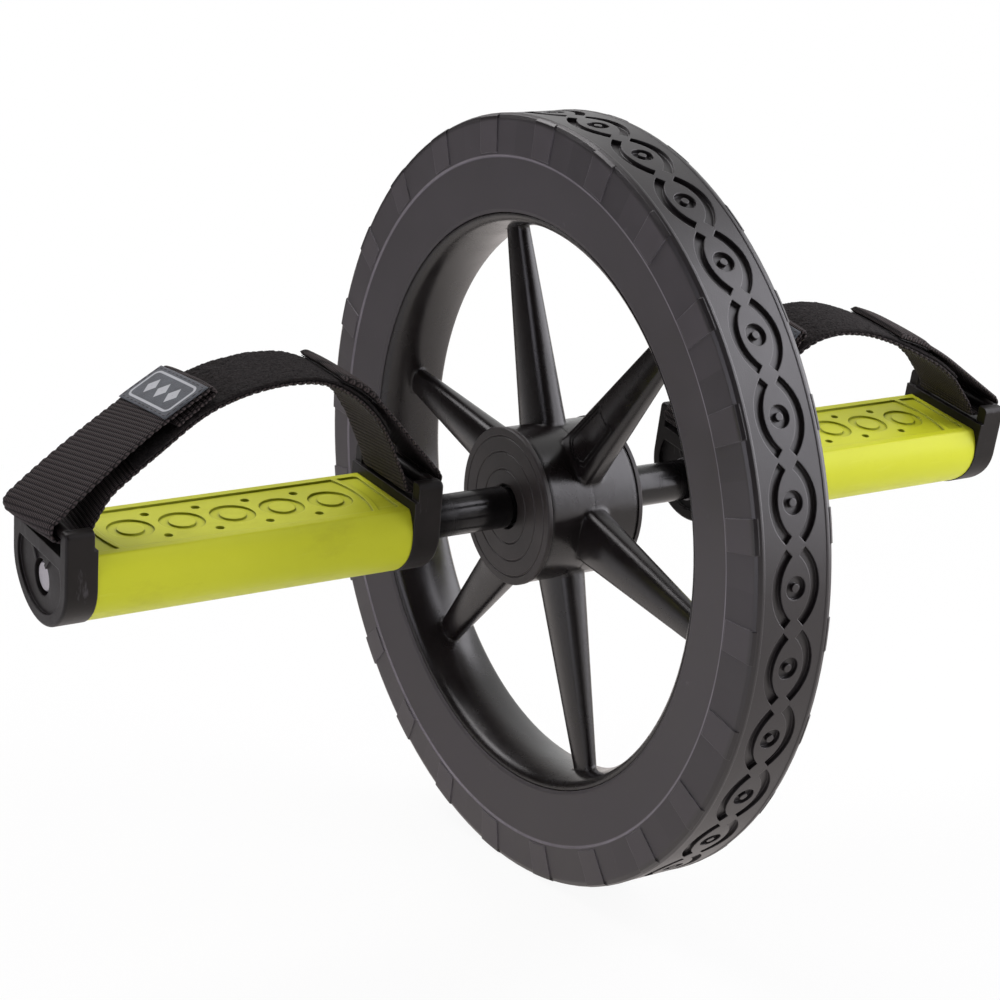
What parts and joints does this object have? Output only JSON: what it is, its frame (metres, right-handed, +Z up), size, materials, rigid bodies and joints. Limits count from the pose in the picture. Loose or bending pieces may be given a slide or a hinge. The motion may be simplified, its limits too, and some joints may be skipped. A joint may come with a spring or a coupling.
{
  "type": "ab wheel roller",
  "caption": "Large spoked wheel on a through axle with a strapped foot pedal at each side, for rolling core exercises.",
  "frame": {"origin": "centre of the wheel on the axle, in the wheel's mid-plane", "axes": "+Y along the axle from the left pedal to the right pedal, +Z up, +X across the pedals"},
  "size_m": [0.34, 0.4894, 0.34],
  "materials": {
    "tyre_rubber": "matt moulded rubber",
    "wheel_plastic": "glossy moulded black",
    "hub_cap_plastic": "glossy moulded black",
    "axle_steel": "turned, zinc plated",
    "tube_paint": "gloss black powder coat",
    "washer_steel": "stamped, zinc plated",
    "spring_steel": "blackened spring steel",
    "bush_nylon": "natural nylon",
    "core_plastic": "moulded, plain",
    "pad_lime": "satin moulded lime",
    "cap_plastic": "satin moulded black",
    "webbing": "ribbed woven webbing",
    "loop_pile": "fuzzy loop pile",
    "hook_plastic": "hook tape",
    "label_weave": "woven grey with a pale blank field"
  },
  "bodies": {
    "axle": {"axle_rod": "axle_steel", "left_hub_washer": "washer_steel", "left_spacer_tube": "tube_paint", "left_inner_washer": "washer_steel", "left_outer_washer": "washer_steel", "left_retaining_ring": "spring_steel", "right_hub_washer": "washer_steel", "right_spacer_tube": "tube_paint", "right_inner_washer": "washer_steel", "right_outer_washer": "washer_steel", "right_retaining_ring": "spring_steel"},
    "wheel": {"tyre": "tyre_rubber", "spoked_wheel": "wheel_plastic", "left_hub_cap": "hub_cap_plastic", "left_hub_bush": "bush_nylon", "right_hub_cap": "hub_cap_plastic", "right_hub_bush": "bush_nylon"},
    "left_pedal": {"left_core": "core_plastic", "left_pad": "pad_lime", "left_outer_cap": "cap_plastic", "left_inner_cap": "cap_plastic", "left_outer_bush": "bush_nylon", "left_inner_bush": "bush_nylon", "left_strap": "webbing", "left_loop_tape": "loop_pile", "left_hook_tape": "hook_plastic", "left_label": "label_weave"},
    "right_pedal": {"right_core": "core_plastic", "right_pad": "pad_lime", "right_outer_cap": "cap_plastic", "right_inner_cap": "cap_plastic", "right_outer_bush": "bush_nylon", "right_inner_bush": "bush_nylon", "right_strap": "webbing", "right_loop_tape": "loop_pile", "right_hook_tape": "hook_plastic", "right_label": "label_weave"}
  },
  "joints": [
    {"name": "wheel_spin", "type": "hinge", "parent": "axle", "child": "wheel", "pos_m": [0, 0, 0], "axis": [0, 1, 0], "continuous": true},
    {"name": "left_pedal_turn", "type": "hinge", "parent": "axle", "child": "left_pedal", "pos_m": [0, -0.15695, 0], "axis": [0, 1, 0], "continuous": true},
    {"name": "right_pedal_turn", "type": "hinge", "parent": "axle", "child": "right_pedal", "pos_m": [0, 0.15695, 0], "axis": [0, 1, 0], "continuous": true}
  ]
}
